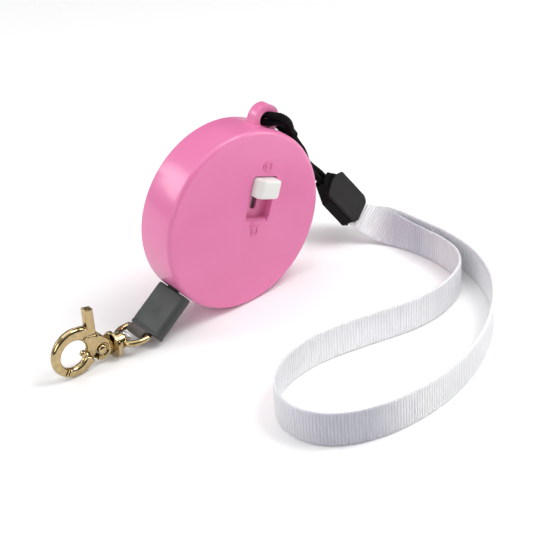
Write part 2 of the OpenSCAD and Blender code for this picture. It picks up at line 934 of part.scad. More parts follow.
module clip_base_2d() {
    neck = [-clip_l / 2 - 3.6, 2.2];
    shoulder = [-clip_l / 2 + 3, clip_w / 2];
    corner = 2;
    half = [[clip_l / 2 - corner, clip_w / 2], [clip_l / 2, clip_w / 2 - corner]];
    polygon([neck, shoulder, half[0], half[1], flip(half[1]), flip(half[0]), flip(shoulder), flip(neck)]);
}

module clip_base() {
    color([0.05, 0.05, 0.06])
        translate(clip_p)
            rotate(clip_tilt)
                difference() {
                    translate([0, 0, -clip_t])
                        linear_extrude(height = clip_t)
                            clip_base_2d();
                    // Mouth for the two ends of the webbing
                    translate([clip_l / 2 - 3.4, -web_w / 2 - 0.2, -clip_t + 0.7])
                        cube([10, web_w + 0.4, clip_t - 1.4]);
                    // Seat for the cord's two ends
                    translate([-clip_l / 2 - 6, -2.8, -clip_t + 0.9])
                        cube([5, 5.6, clip_t - 1.8]);
                }
}

module clip_cover() {
    color([0.21, 0.2, 0.21])
        translate(clip_p)
            rotate(clip_tilt)
                linear_extrude(height = clip_face_t)
                    intersection() {
                        translate([-0.5, 0])
                            round_rect(clip_l + 0.8, clip_w - 0.2, 3);
                        translate([3.6, 0])
                            circle(r = 12.8);
                    }
}

module wrist_webbing() {
    color([0.97, 0.97, 0.98])
        band(smooth(WEB, 2), web_w, web_t);
}

front_case();
rear_cover();
case_screws();
outlet_guide();
guide_pins();
arbor();
reel();
reel_cover();
reel_washers();
power_spring();
tape_coil();
tape_run();
lock_knob();
lock_plate();
brake_pad();
detent_spring();
tape_lead();
tape_crimp();
lead_sleeve();
swivel_eye();
hook_body();
trigger();
hook_rivet();
trigger_spring();
strap_cord();
cord_hitch();
clip_base();
clip_cover();
wrist_webbing();
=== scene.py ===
import math

import bmesh
import bpy
import numpy as np
from mathutils import Matrix, Vector
from mathutils.kdtree import KDTree


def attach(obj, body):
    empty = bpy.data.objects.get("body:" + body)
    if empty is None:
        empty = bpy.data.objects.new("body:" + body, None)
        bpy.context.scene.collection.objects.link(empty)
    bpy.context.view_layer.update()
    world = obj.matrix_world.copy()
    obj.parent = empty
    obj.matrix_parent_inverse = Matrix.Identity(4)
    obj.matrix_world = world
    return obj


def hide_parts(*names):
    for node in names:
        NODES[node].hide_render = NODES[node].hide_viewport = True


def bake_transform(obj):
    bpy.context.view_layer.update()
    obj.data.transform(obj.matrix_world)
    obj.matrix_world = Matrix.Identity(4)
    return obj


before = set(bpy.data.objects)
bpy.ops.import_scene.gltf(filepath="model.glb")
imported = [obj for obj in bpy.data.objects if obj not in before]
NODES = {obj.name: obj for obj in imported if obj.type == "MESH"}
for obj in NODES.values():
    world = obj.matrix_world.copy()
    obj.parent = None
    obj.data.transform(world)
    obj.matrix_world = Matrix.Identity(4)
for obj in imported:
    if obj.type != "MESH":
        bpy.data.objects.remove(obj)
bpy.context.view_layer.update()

# Shapes are worked out in millimetres, in the CAD model's frame, and stored in metres
MM = 0.001

# Case: its radius and the middle of its thickness
CASE_R = 33.0
MID_Y = -8.25

# Leash tape: width, thickness, and the middle of its width on the reel
TAPE_W = 6.0
TAPE_T = 0.62
TAPE_Y = -6.9

# Outlet: the way out of the case, and the direction through the tape's thickness
EXIT = math.radians(216)
OUT = np.array([math.cos(EXIT), 0, math.sin(EXIT)])
OVER = np.array([math.sin(EXIT), 0, -math.cos(EXIT)])

# Rubber sleeve: where it starts along OUT, and its length
SLEEVE_R0 = CASE_R + 0.4
SLEEVE_L = 17.2

# Snap hook: the eye's bar and its radius, the rivet, the ring's centre and half the thickness
BAR = np.array([-44.1, MID_Y, -28.2])
BAR_R = 1.1
RIVET = np.array([-59.4, MID_Y, -27.2])
RING = np.array([-69.3, MID_Y, -23.9])
HOOK_HALF = 1.5

# Wrist loop: the webbing's width, thickness, rib pitch and tilt in the clip, and the cord's radius
WEB_W = 12.5
WEB_T = 1.2
WEB_PITCH = 1.06
CLIP_WEB = np.array([0.843, 0.481, 0.225])
CORD_R = 1.3


# ---- camera ----

def aim_camera():
    """A long lens that looks down at the case's front from the left, slightly rolled."""
    turn, height, roll = (math.radians(a) for a in (-37.33, 32.28, -4.61))
    back = Vector((math.sin(turn) * math.cos(height), -math.cos(turn) * math.cos(height), math.sin(height)))
    level = Vector((math.cos(turn), math.sin(turn), 0))
    right = math.cos(roll) * level + math.sin(roll) * back.cross(level)
    m = Matrix((right, back.cross(right), back)).transposed().to_4x4()
    m.translation = (-0.2396, -0.3401, 0.2355)
    data = bpy.data.cameras.new("camera")
    data.lens = 91.24
    data.sensor_width = 36
    data.clip_start = 0.01
    cam = bpy.data.objects.new("camera", data)
    cam.matrix_world = m
    bpy.context.scene.collection.objects.link(cam)
    bpy.context.scene.camera = cam


# ---- materials ----

def rgb(*screen):
    """Linear colour from 0-255 screen values."""
    def linear(c):
        return c / 12.92 if c <= 0.04045 else ((c + 0.055) / 1.055) ** 2.4
    return tuple(linear(c / 255) for c in screen) + (1.0,)


def grey_ramp(ramp, stops):
    """Sets a colour ramp's stops as (place from 0 to 1, grey)."""
    first, last = ramp.elements
    for element, (place, grey) in ((first, stops[0]), (last, stops[-1])):
        element.position = place
        element.color = (grey, grey, grey, 1)
    for place, grey in stops[1:-1]:
        ramp.elements.new(place).color = (grey, grey, grey, 1)


class Mat:
    """A Principled material with procedural colour, roughness and bump. Sizes are in millimetres."""

    # Colour sockets of a Mix node, which has others for numbers and vectors
    MIX_A, MIX_B, MIX_RESULT = 6, 7, 2

    def __init__(self, name, colour, rough, metallic=0.0, **sockets):
        self.material = bpy.data.materials.new(name)
        self.material.use_nodes = True
        self.tree = self.material.node_tree
        self.shader = self.tree.nodes["Principled BSDF"]
        self.shader.inputs["Base Color"].default_value = colour
        self.shader.inputs["Roughness"].default_value = rough
        self.shader.inputs["Metallic"].default_value = metallic
        for key, value in sockets.items():
            self.shader.inputs[key.replace("_", " ").title().replace("Ior", "IOR")].default_value = value
        self.colour = colour
        self.normal = None

    def node(self, kind, **settings):
        n = self.tree.nodes.new(kind)
        for key, value in settings.items():
            setattr(n, key, value)
        return n

    def link(self, source, target):
        self.tree.links.new(source, target)

    def coords(self, uv=False):
        """Place on the surface: UV as it is, or the object's own millimetres."""
        place = self.node("ShaderNodeTexCoord")
        scale = self.node("ShaderNodeMapping")
        scale.inputs["Scale"].default_value = (1, 1, 1) if uv else (1000, 1000, 1000)
        self.link(place.outputs["UV" if uv else "Object"], scale.inputs["Vector"])
        return scale.outputs["Vector"]

    def uv_parts(self):
        """Distance across the band and along it."""
        parts = self.node("ShaderNodeSeparateXYZ")
        self.link(self.coords(uv=True), parts.inputs[0])
        return parts.outputs["X"], parts.outputs["Y"]

    def noise(self, size, detail):
        n = self.node("ShaderNodeTexNoise")
        n.inputs["Scale"].default_value = 1 / size
        n.inputs["Detail"].default_value = detail
        self.link(self.coords(), n.inputs["Vector"])
        return n.outputs["Fac"]

    def spread(self, value, low, high, start=0.3, end=0.7):
        """Maps value, from start to end, onto low to high."""
        r = self.node("ShaderNodeMapRange")
        for key, number in (("From Min", start), ("From Max", end), ("To Min", low), ("To Max", high)):
            r.inputs[key].default_value = number
        self.link(value, r.inputs["Value"])
        return r.outputs["Result"]

    def math(self, operation, *values):
        n = self.node("ShaderNodeMath", operation=operation)
        for i, value in enumerate(values):
            if isinstance(value, (int, float)):
                n.inputs[i].default_value = value
            else:
                self.link(value, n.inputs[i])
        return n.outputs[0]

    def wave(self, operation, distance, pitch):
        """A sine or cosine of a distance."""
        return self.math(operation, self.math("MULTIPLY", distance, 2 * math.pi / pitch))

    def tint(self, value, other, amount):
        """Mixes the colour so far with another one where value is high."""
        n = self.node("ShaderNodeMix", data_type="RGBA")
        base = self.shader.inputs["Base Color"]
        if base.is_linked:
            self.link(base.links[0].from_socket, n.inputs[self.MIX_A])
        else:
            n.inputs[self.MIX_A].default_value = self.colour
        n.inputs[self.MIX_B].default_value = other
        self.link(self.math("MULTIPLY", value, amount), n.inputs[0])
        self.link(n.outputs[self.MIX_RESULT], base)

    def roughen(self, value, low, high):
        self.link(self.spread(value, low, high), self.shader.inputs["Roughness"])

    def bump(self, value, depth):
        n = self.node("ShaderNodeBump")
        n.inputs["Strength"].default_value = 1.0
        n.inputs["Distance"].default_value = depth * MM
        self.link(value, n.inputs["Height"])
        if self.normal:
            self.link(self.normal, n.inputs["Normal"])
        self.normal = n.outputs["Normal"]
        self.link(self.normal, self.shader.inputs["Normal"])


def moulded(name, colour, shade, rough, grain=0.12, depth=0.006, **sockets):
    """Injection-moulded plastic: cloudy tone, uneven gloss and the fine grain of the tool's surface."""
    m = Mat(name, colour, rough, **sockets)
    m.tint(m.spread(m.noise(14, 2), 0, 1), shade, 0.35)
    m.roughen(m.noise(5, 4), rough - 0.05, rough + 0.06)
    m.bump(m.noise(grain, 2), depth)
    m.bump(m.noise(9, 1), 0.02)
    return m.material


def metal(name, colour, shade, rough, size, depth, crevice_shade=0.0):
    """Plated or drawn metal; painted shade darkens its corners and crevices."""
    m = Mat(name, colour, rough, metallic=1.0)
    m.tint(m.spread(m.noise(1.6, 3), 0, 1), shade, 0.5)
    if crevice_shade:
        # Painted shade: ambient occlusion tints the colour dark brown in corners and crevices
        hollow = m.node("ShaderNodeAmbientOcclusion", samples=8, only_local=True)
        hollow.inputs["Distance"].default_value = 2 * MM
        m.tint(m.spread(hollow.outputs["AO"], 1, 0, 0.25, 0.95), rgb(58, 38, 18), crevice_shade)
    m.roughen(m.noise(size, 4), rough - 0.05, rough + 0.1)
    m.bump(m.noise(size, 3), depth)
    return m.material


def woven(name, colour, shade, pitch, depth):
    """Plain-woven tape: yarns cross at the pitch, both ways."""
    m = Mat(name, colour, 0.8, sheen_weight=0.15, sheen_roughness=0.5)
    across, along = m.uv_parts()
    weave = m.math("MULTIPLY", m.wave("SINE", across, pitch), m.wave("SINE", along, pitch))
    m.tint(m.spread(weave, 1, 0, -1, 0.4), shade, 0.55)
    m.tint(m.spread(m.noise(3, 3), 0, 1), shade, 0.2)
    m.bump(weave, depth)
    m.bump(m.noise(0.18, 2), 0.02)
    return m.material


# Painted shade along the webbing: distance in mm and how much of the painted shade shows there
WEB_PAINTED_SHADE = ((0, 0.1), (10, 0.2), (18, 0.9), (30, 1), (42, 0.3), (60, 0.15), (100, 0.1), (122, 0),
            (150, 0), (168, 0.6), (180, 1), (195, 1), (208, 0.3), (218, 0), (255, 0), (290, 0.2),
            (330, 0.25), (362, 0.2))


def ribbed(name, colour, shade, pitch):
    """Satin-faced webbing: painted shade in the groove between ribs, fine warp threads and painted shade that
    changes slowly along the band.
    """
    m = Mat(name, colour, 0.45, sheen_weight=0.5, sheen_roughness=0.35)
    warp_pitch = 0.42
    end = WEB_PAINTED_SHADE[-1][0]
    across, along = m.uv_parts()
    rib = m.wave("COSINE", along, pitch)
    warp = m.wave("SINE", across, warp_pitch)
    # Painted shade along the band, from the table above
    tone = m.node("ShaderNodeValToRGB")
    grey_ramp(tone.color_ramp, [(at / end, grey) for at, grey in WEB_PAINTED_SHADE])
    m.link(m.math("DIVIDE", along, end), tone.inputs["Fac"])
    m.tint(tone.outputs["Color"], shade, 0.55)
    # Painted shade in the grooves between the ribs
    m.tint(m.spread(rib, 1, 0, -1, 0.1), shade, 0.16)
    m.tint(m.spread(m.noise(2.5, 3), 0, 1), shade, 0.06)
    m.bump(rib, 0.12)
    m.bump(warp, 0.02)
    return m.material


def braided(name, colour, shade):
    """Dull fibre for the cord: its strands are in the mesh."""
    rough = 0.75
    m = Mat(name, colour, rough, specular_ior_level=0.12)
    m.tint(m.spread(m.noise(0.5, 4), 0, 1), shade, 0.6)
    m.roughen(m.noise(0.4, 3), rough - 0.1, rough + 0.15)
    m.bump(m.noise(0.12, 2), 0.03)
    return m.material


def make_materials():
    """One material for each material slot: its name, colour, shade and finish."""
    return {
        "case_pink": moulded("pink_plastic", rgb(226, 120, 170), rgb(219, 108, 160), 0.36,
                             coat_weight=0.35, coat_roughness=0.16),
        "white_plastic": moulded("white_plastic", rgb(232, 233, 228), rgb(220, 221, 214), 0.34),
        "black_plastic": moulded("black_plastic", rgb(6, 6, 7), rgb(10, 10, 12), 0.42,
                                 specular_ior_level=0.1),
        "clip_face": moulded("clip_face", rgb(32, 30, 31), rgb(39, 37, 38), 0.55, grain=0.2, depth=0.02,
                             specular_ior_level=0.25),
        "sleeve_rubber": moulded("sleeve_rubber", rgb(56, 61, 58), rgb(48, 52, 50), 0.52, grain=0.3,
                                 depth=0.015),
        # The gold plate gets strong painted shade in its crevices
        "gold_plate": metal("gold_plate", rgb(196, 175, 132), rgb(146, 124, 82), 0.1, size=0.9,
                            depth=0.02, crevice_shade=0.95),
        "steel": metal("steel", rgb(196, 197, 200), rgb(176, 178, 182), 0.28, size=0.3, depth=0.004),
        "spring_steel": metal("spring_steel", rgb(120, 128, 140), rgb(96, 104, 118), 0.3, size=0.3,
                              depth=0.004),
        "brass": metal("brass", rgb(214, 176, 104), rgb(190, 150, 84), 0.25, size=0.4, depth=0.006),
        "tape": woven("tape_weave", rgb(98, 90, 88), rgb(52, 47, 48), pitch=0.62, depth=0.1),
        # The webbing's second colour is its painted shade in the bands and grooves
        "webbing": ribbed("white_webbing", rgb(254, 254, 255), rgb(148, 148, 174), WEB_PITCH),
        "black_cord": braided("black_braid", rgb(5, 5, 6), rgb(15, 15, 17)),
    }


# ---- mesh helpers ----

def add_mesh(name, verts, faces, body, slot, uvs=None, replaces=()):
    """A smooth-shaded piece from vertices in millimetres, riding on a body."""
    mesh = bpy.data.meshes.new(name)
    mesh.from_pydata((np.asarray(verts, float) * MM).tolist(), [], faces)
    mesh.update()
    bm = bmesh.new()
    bm.from_mesh(mesh)
    bmesh.ops.recalc_face_normals(bm, faces=bm.faces)
    bm.to_mesh(mesh)
    bm.free()
    if uvs is not None:
        layer = mesh.uv_layers.new(name="band")
        for loop in mesh.loops:
            layer.data[loop.index].uv = uvs[loop.vertex_index]
    mesh.shade_smooth()
    obj = bpy.data.objects.new(name, mesh)
    bpy.context.scene.collection.objects.link(obj)
    return finish_piece(obj, body, slot, replaces)


def set_material(obj, slot):
    obj.data.materials.clear()
    obj.data.materials.append(MATERIALS[slot])


def finish_piece(obj, body, slot, replaces=()):
    """Gives a piece its material, its body, and the CAD nodes that it stands for."""
    set_material(obj, slot)
    if body:
        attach(obj, body)
    if replaces:
        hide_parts(*replaces)
    return obj


def loft(rings):
    """Vertices and faces of a closed tube through rings of equal length, capped at both ends."""
    n, k = len(rings), len(rings[0])
    faces = []
    for i in range(n - 1):
        a, b = i * k, (i + 1) * k
        faces += [(a + j, a + (j + 1) % k, b + (j + 1) % k, b + j) for j in range(k)]
    faces += [tuple(range(k)), tuple(range((n - 1) * k, n * k))]
    return np.concatenate(rings), faces


def spline(points, steps):
    """A smooth curve through given points."""
    p = np.asarray(points, float)
    out = []
    for i in range(len(p) - 1):
        a, b, c, d = p[max(i - 1, 0)], p[i], p[i + 1], p[min(i + 2, len(p) - 1)]
        for f in np.arange(steps) / steps:
            out.append(0.5 * (2 * b + (c - a) * f + (2 * a - 5 * b + 4 * c - d) * f ** 2
                              + (3 * b - a - 3 * c + d) * f ** 3))
    out.append(p[-1])
    return np.array(out)


def even(points, step):
    """The same line with points an even step apart, and each one's distance along it."""
    d = np.r_[0, np.cumsum(np.linalg.norm(np.diff(points[:, :3], axis=0), axis=1))]
    n = max(2, int(round(d[-1] / step)) + 1)
    at = np.linspace(0, d[-1], n)
    return np.stack([np.interp(at, d, points[:, i]) for i in range(points.shape[1])], 1), at


def tangents(p):
    t = np.gradient(p, axis=0)
    return t / np.linalg.norm(t, axis=1)[:, None]


def rise(x, start, end):
    """0 before start, 1 after end, and even between them."""
    return np.clip((x - start) / (end - start), 0, 1)


def band_ring(mid, x, half, wide, thin):
    """Points round a flat band's section: out along its front and back along its rear."""
    front = mid + np.outer(x, wide) + np.outer(half, thin)
    back = mid + np.outer(x[::-1], wide) - np.outer(half[::-1], thin)
    return np.concatenate([front, back])


def rounded_box(half_w, half_h, r, n=14):
    """Points round a rectangle with round corners, as (across, over)."""
    pts = []
    for k, (sx, sy) in enumerate([(1, 1), (-1, 1), (-1, -1), (1, -1)]):
        for a in np.linspace(0, math.pi / 2, n) + k * math.pi / 2:
            pts.append((sx * (half_w - r) + r * math.cos(a), sy * (half_h - r) + r * math.sin(a)))
    return np.array(pts)


def lathe(name, centre, axis, profile, slot, sides, replaces=()):
    """A turned piece on the hook, about axis 0 (X) or 1 (Y), from (radius, place on the axis) pairs."""
    u, v = (i for i in range(3) if i != axis)
    a = np.arange(sides) * 2 * math.pi / sides
    rings = []
    for r, place in profile:
        ring = np.empty((sides, 3))
        ring[:, axis] = place
        ring[:, u] = centre[u] + r * np.cos(a)
        ring[:, v] = centre[v] + r * np.sin(a)
        rings.append(ring)
    verts, faces = loft(rings)
    return add_mesh(name, verts, faces, "hook", slot, replaces=replaces)


def cast(name, source, voxel, rounds, body, slot, shape=None):
    """A cast or moulded piece: a CAD solid rebuilt on a fine grid, with its edges worn round."""
    mesh = NODES[source].data.copy()
    obj = bpy.data.objects.new(name, mesh)
    bpy.context.scene.collection.objects.link(obj)
    grid = obj.modifiers.new("grid", "REMESH")
    grid.mode = "VOXEL"
    grid.voxel_size = voxel * MM
    soft = obj.modifiers.new("soft", "SMOOTH")
    soft.factor = 0.5
    soft.iterations = rounds
    bpy.context.view_layer.update()
    made = bpy.data.meshes.new_from_object(obj.evaluated_get(bpy.context.evaluated_depsgraph_get()))
    obj.modifiers.clear()
    obj.data = made
    made.name = name
    bpy.data.meshes.remove(mesh)
    if shape is not None:
        co, no = np.empty(len(made.vertices) * 3), np.empty(len(made.vertices) * 3)
        made.vertices.foreach_get("co", co)
        made.vertices.foreach_get("normal", no)
        co = shape(co.reshape(-1, 3) / MM, no.reshape(-1, 3)) * MM
        made.vertices.foreach_set("co", co.ravel())
        made.update()
    made.shade_smooth()
    return finish_piece(obj, body, slot, [source])


# ---- lanyard cord and webbing ----

# The cord's route: up the rim, a round turn through the eye and back into the clip
CORD = [[47.8, -2.6, -9.8], [46.4, -1.4, -7.4], [44.6, -1, -4.8], [41.6, -2.4, -1],
        [38.6, -4.6, 2.8], [36.2, -6.8, 7], [34, -8, 11.6], [31, -8.6, 16.4],
        [28.2, -9.6, 21], [25.8, -12, 25.4], [23, -14.2, 29.4], [20, -14.4, 32.2],
        [18.2, -12.2, 32.6], [17.8, -8.25, 32.1], [18.2, -4.8, 32.4], [20.2, -3.9, 31.2],
        [23, -4.4, 29], [24.8, -6.2, 27.8], [25.2, -8.25, 27.5], [24.6, -10.4, 27.8],
        [22.4, -12, 28.6], [19.6, -12.3, 29.7], [17.3, -11.2, 29.9], [16.4, -8.25, 29.8],
        [16.8, -4.6, 29.7], [18.6, -1.9, 29.4], [21.4, -1.7, 28], [24.8, -3.2, 25],
        [27.8, -5.6, 21.4], [31.2, -5.4, 16.2], [34.2, -4.8, 11.6], [37, -3.4, 7.2],
        [40.2, -1.4, 3], [43.8, 0.4, -1], [46.8, 0.6, -4.4], [48.8, 0.2, -6.8],
        [50, -1, -9.2]]

# The webbing's route, with its lean: 1 is the clip's tilt, and 0 stands on its edge
WEB = [[56.2, -9.2, -22, 1], [57.6, -10.8, -24, 0.95], [59.6, -14.5, -25.8, 0.8],
       [61.4, -20, -26.5, 0.5], [62.6, -28, -26.7, 0.2], [63.4, -38, -26.7, 0],
       [63.4, -48, -26.7, 0], [61, -58, -26.7, 0], [54, -65.5, -26.7, 0],
       [42, -69.5, -26.7, 0], [28, -69.5, -26.7, 0], [12, -65.5, -26.7, 0],
       [-4, -61.8, -26.7, 0], [-17, -61.5, -26.7, 0], [-29, -65.5, -26.7, 0],
       [-37, -74, -26.7, 0], [-39, -84, -26.7, 0], [-35, -93.5, -26.7, 0],
       [-26, -100.5, -26.7, 0], [-13, -104.5, -26.7, 0], [3, -105.2, -26.7, 0],
       [19, -102.5, -26.7, 0], [34, -96.5, -26.7, 0], [48, -87, -26.7, 0],
       [59, -75, -26.7, 0], [65.5, -61, -26.7, 0], [67.6, -47, -26.7, 0],
       [67, -35, -26.7, 0.05], [65, -24, -26.7, 0.3], [61.6, -14.6, -26.6, 0.7],
       [58.4, -9.4, -25, 0.95], [56.6, -7, -22.8, 1]]


def make_cord():
    """A braided cord and its centre line: two sets of strands wind opposite ways, over and under."""
    strands, pitch, relief = 8, 5.0, 0.07
    sides, step = 24, 0.22
    tip, least = 0.4, 0.12
    path, along = even(spline(CORD, 12), step)
    ahead = tangents(path)
    angles = np.arange(sides) * 2 * math.pi / sides
    start = np.array([0.05, 1, 0.1]) / np.linalg.norm([0.05, 1, 0.1])
    side = np.cross(ahead[0], start)
    rings = []
    for i in range(len(path)):
        side = side - (side @ ahead[i]) * ahead[i]
        side /= np.linalg.norm(side)
        up = np.cross(ahead[i], side)
        turn = along[i] / pitch * 2 * math.pi
        strand = np.maximum(np.cos(strands / 2 * (angles + turn)), np.cos(strands / 2 * (angles - turn)))
        radius = CORD_R * (1 - relief + relief * strand)
        end = min(along[i], along[-1] - along[i])
        if end < tip:
            radius = radius * math.sqrt(max(least, 1 - (1 - end / tip) ** 2))
        across, over = radius * np.cos(angles), radius * np.sin(angles)
        rings.append(path[i] + np.outer(across, side) + np.outer(over, up))
    verts, faces = loft(rings)
    return add_mesh("lanyard_cord", verts, faces, "strap", "black_cord", replaces=["strap_cord"]), path


def make_webbing():
    """Ribbed webbing: raised ribs across the band and a beaded selvedge on both edges."""
    route, along = even(spline(WEB, 14), WEB_PITCH / 6)
    path, lean = route[:, :3], route[:, 3:]
    ahead = tangents(path)
    up = lean * CLIP_WEB + (1 - lean) * np.array([0, 0, 1.0])
    up -= (up * ahead).sum(1)[:, None] * ahead
    up /= np.linalg.norm(up, axis=1)[:, None]
    thin = np.cross(ahead, up)
    cols = np.r_[-1, -0.97, -0.93, np.linspace(-0.88, 0.88, 12), 0.93, 0.97, 1]
    selvedge = rise(np.abs(cols), 0.86, 1)
    crown = np.sqrt(np.maximum(1 - selvedge ** 2.4, 0.04))
    rings, uvs = [], []
    for i in range(len(path)):
        wave = math.cos(2 * math.pi * along[i] / WEB_PITCH)
        rib = (0.5 + 0.5 * wave) ** 0.6
        bead = 0.5 - 0.5 * wave
        half = WEB_T / 2 * np.where(selvedge > 0, (0.86 + 0.1 * bead) * crown, 0.8 + 0.18 * rib)
        x = cols * (WEB_W / 2 - 0.08 * (1 - bead))
        rings.append(band_ring(path[i], x, half, up[i], thin[i]))
        uvs += [(c * WEB_W / 2, along[i]) for c in np.r_[cols, cols[::-1]]]
    verts, faces = loft(rings)
    return add_mesh("wrist_loop", verts, faces, "strap", "webbing", uvs, ["wrist_webbing"])


# ---- snap hook ----

def hook_shape(co, no):
    """Rounds the flat CAD outline as a casting: nearly round wire in the ring, soft edges elsewhere.

    Takes the vertices and their normals, in millimetres, and gives the moved vertices.
    """
    edge_r, wire_r = 0.55, 1.4
    dish_depth, groove_depth, groove_half = 0.5, 0.22, 0.3
    # How far each vertex is from the outline's side walls, from the rivet and from the thumb lever
    side = co[np.abs(no[:, 1]) < 0.4]
    tree = KDTree(len(side))
    for i, p in enumerate(side):
        tree.insert((p[0], 0, p[2]), i)
    tree.balance()
    near = np.array([tree.find((p[0], 0, p[2]))[2] for p in co])
    hub = np.hypot(co[:, 0] - RIVET[0], co[:, 2] - RIVET[2])
    lever = rise(co[:, 0], -66.5, -65) * rise(co[:, 2], -21, -19)
    r = edge_r + (wire_r - edge_r) * rise(hub, 4.4, 6.6) * (1 - lever)
    height = HOOK_HALF - r + np.sqrt(np.maximum(r ** 2 - (r - np.minimum(near, r)) ** 2, 0))
    # The stem is turned, not flat, and keeps its CAD shape
    flat_part = 1 - rise(co[:, 0], -57.2, -55.6)
    out = co.copy()
    dy = co[:, 1] - MID_Y
    out[:, 1] = MID_Y + dy * (1 + flat_part * (height / HOOK_HALF - 1))
    # Dish for the rivet's head, and the parting line of the die round the ring
    out[:, 1] += np.sign(dy) * -dish_depth * (1 - rise(hub, 2.3, 2.7)) * (np.abs(dy) > 1.2)
    rel = co - RING
    ring = np.maximum(np.hypot(rel[:, 0], rel[:, 2]), 1)
    groove = np.clip(1 - np.abs(dy) / groove_half, 0, 1) * rise(ring, 7.6, 8.4) * rise(hub, 4.4, 5.4)
    for axis in (0, 2):
        out[:, axis] -= rel[:, axis] / ring * groove * groove_depth
    return out


def make_rivet():
    """Domed head in front, shank, and a low tail behind."""
    face = MID_Y - HOOK_HALF
    rear = MID_Y + HOOK_HALF
    dome = [(1.85 * math.sin(a), face + 0.25 - 1.1 * math.cos(a)) for a in np.linspace(0.02, math.pi / 2, 14)]
    shank = [(1.85, face + 0.35), (1.15, face + 0.6), (1.15, rear), (1.9, rear + 0.02)]
    tail = [(1.9 * math.sin(a), rear + 0.05 + 0.5 * math.cos(a)) for a in np.linspace(math.pi / 2, 0.02, 10)]
    lathe("rivet_domed", RIVET, 1, dome + shank + tail, "gold_plate", 48, ["hook_rivet"])


def make_stem_dome():
    """The swivel stem's riveted end, inside the eye."""
    r, start = 2.32, -49.8
    angles = np.linspace(0, math.pi / 2 - 0.03, 10)
    dome = [(r * math.cos(a), start + 0.9 + 0.55 * math.sin(a)) for a in angles]
    lathe("swivel_stem_dome", BAR, 0, [(r, start)] + dome, "steel", 40)


def make_tongue():
    """Small rounded tongue on the gate's end, inside the ring."""
    root, towards = np.array([-64.7, MID_Y, -27.2]), np.array([-67.0, MID_Y, -25.7])
    length, half_w, half_t = 2.9, 1.15, 1.1
    d = (towards - root) / np.linalg.norm(towards - root)
    n = np.cross(d, [0, 1, 0])
    rings = []
    for f in np.r_[0, 0.5, np.sin(np.linspace(0, math.pi / 2, 8)) * 0.5 + 0.5]:
        k = 1.0 if f <= 0.5 else math.sqrt(max(0.02, 1 - ((f - 0.5) * 2) ** 2))
        section = rounded_box(half_w * (0.55 + 0.45 * k), half_t * (0.5 + 0.5 * k), 0.5, 6)
        rings.append(root + d * f * length + np.outer(section[:, 0], [0, 1, 0]) + np.outer(section[:, 1], n))
    verts, faces = loft(rings)
    add_mesh("gate_tongue", verts, faces, "trigger", "gold_plate")


# ---- tape end and sleeve ----

def make_sleeve():
    """Soft rubber sleeve: rounded ends, a thin lip at the mouth and a real hollow behind it."""
    half_w, half_t, corner = 7.85, 2.1, 1.7
    # Distance along the sleeve, and how far the section grows there
    stations = [(0.0, -0.5), (0.12, -0.22), (0.4, -0.06), (0.8, 0), (3, 0.02), (8, 0), (13, 0.02),
                (15.2, 0.03), (15.5, -0.05), (15.75, -0.05), (16.0, 0.1), (16.8, 0.12),
                (17.05, 0.02), (SLEEVE_L, -0.16), (SLEEVE_L, -0.34), (17.1, -0.5), (16.7, -0.6),
                (14.2, -0.62), (13.9, -1.1)]
    rings = []
    for s, grow in stations:
        section = rounded_box(half_w + grow, half_t + grow, max(0.35, corner + grow))
        middle = OUT * (SLEEVE_R0 + s) + np.array([0, MID_Y, 0])
        rings.append(middle + np.outer(section[:, 0], [0, 1.0, 0]) + np.outer(section[:, 1], OVER))
    verts, faces = loft(rings)
    add_mesh("lead_sleeve_rubber", verts, faces, "lead", "sleeve_rubber", replaces=["lead_sleeve"])


def band_xz(name, line, width, y, body, replaces=()):
    """A flat woven band whose line lies in the XZ plane."""
    path, along = even(np.asarray(line, float), 0.16)
    thin = np.cross(tangents(np.c_[path[:, 0], np.zeros(len(path)), path[:, 1]]), [0, 1, 0])
    cols = np.linspace(-1, 1, 15)
    x = cols * width / 2
    edge = np.where(np.abs(cols) > 0.95, 0.6, 1)
    rings, uvs = [], []
    for i in range(len(path)):
        yarns = 0.93 + 0.07 * np.cos(cols * 30) * math.cos(along[i] * 9)
        mid = np.array([path[i, 0], y, path[i, 1]])
        rings.append(band_ring(mid, x, TAPE_T / 2 * edge * yarns, [0, 1, 0], thin[i]))
        uvs += [(c * width / 2, along[i]) for c in np.r_[cols, cols[::-1]]]
    verts, faces = loft(rings)
    return add_mesh(name, verts, faces, body, "tape", uvs, replaces)


def make_tape_fold():
    """The tape's fold: out of the sleeve, round the eye's bar and back in."""
    loop_w, play, half_gap = 8.6, 0.12, 0.34
    out, over, bar = OUT[[0, 2]], OVER[[0, 2]], BAR[[0, 2]]
    mouth = SLEEVE_R0 + SLEEVE_L
    r = BAR_R + play + 0.33
    toward = math.atan2(*(out * (mouth + 0.2) - bar)[::-1])
    loop = [bar + r * np.array([math.cos(a), math.sin(a)])
            for a in toward + np.radians(np.linspace(62, 298, 30))]
    inside = (9, 6, 3, 0.9)
    low = [out * (mouth - s) - over * half_gap for s in inside]
    high = [out * (mouth - s) + over * half_gap for s in inside[::-1]]
    if np.linalg.norm(loop[0] - low[-1]) > np.linalg.norm(loop[-1] - low[-1]):
        loop = loop[::-1]
    band_xz("tape_fold", spline(low + loop[::3] + [loop[-1]] + high, 6), loop_w, MID_Y, "lead", ["tape_lead"])


def make_pull_tape():
    """The tape between the case and the sleeve: it runs out as the leash is pulled."""
    line = np.array([OUT[[0, 2]] * s for s in np.linspace(28.8, 42.5, 90)])
    obj = band_xz("tape_out", line, TAPE_W, TAPE_Y, None)
    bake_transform(obj)


# ---- CAD nodes that stay ----

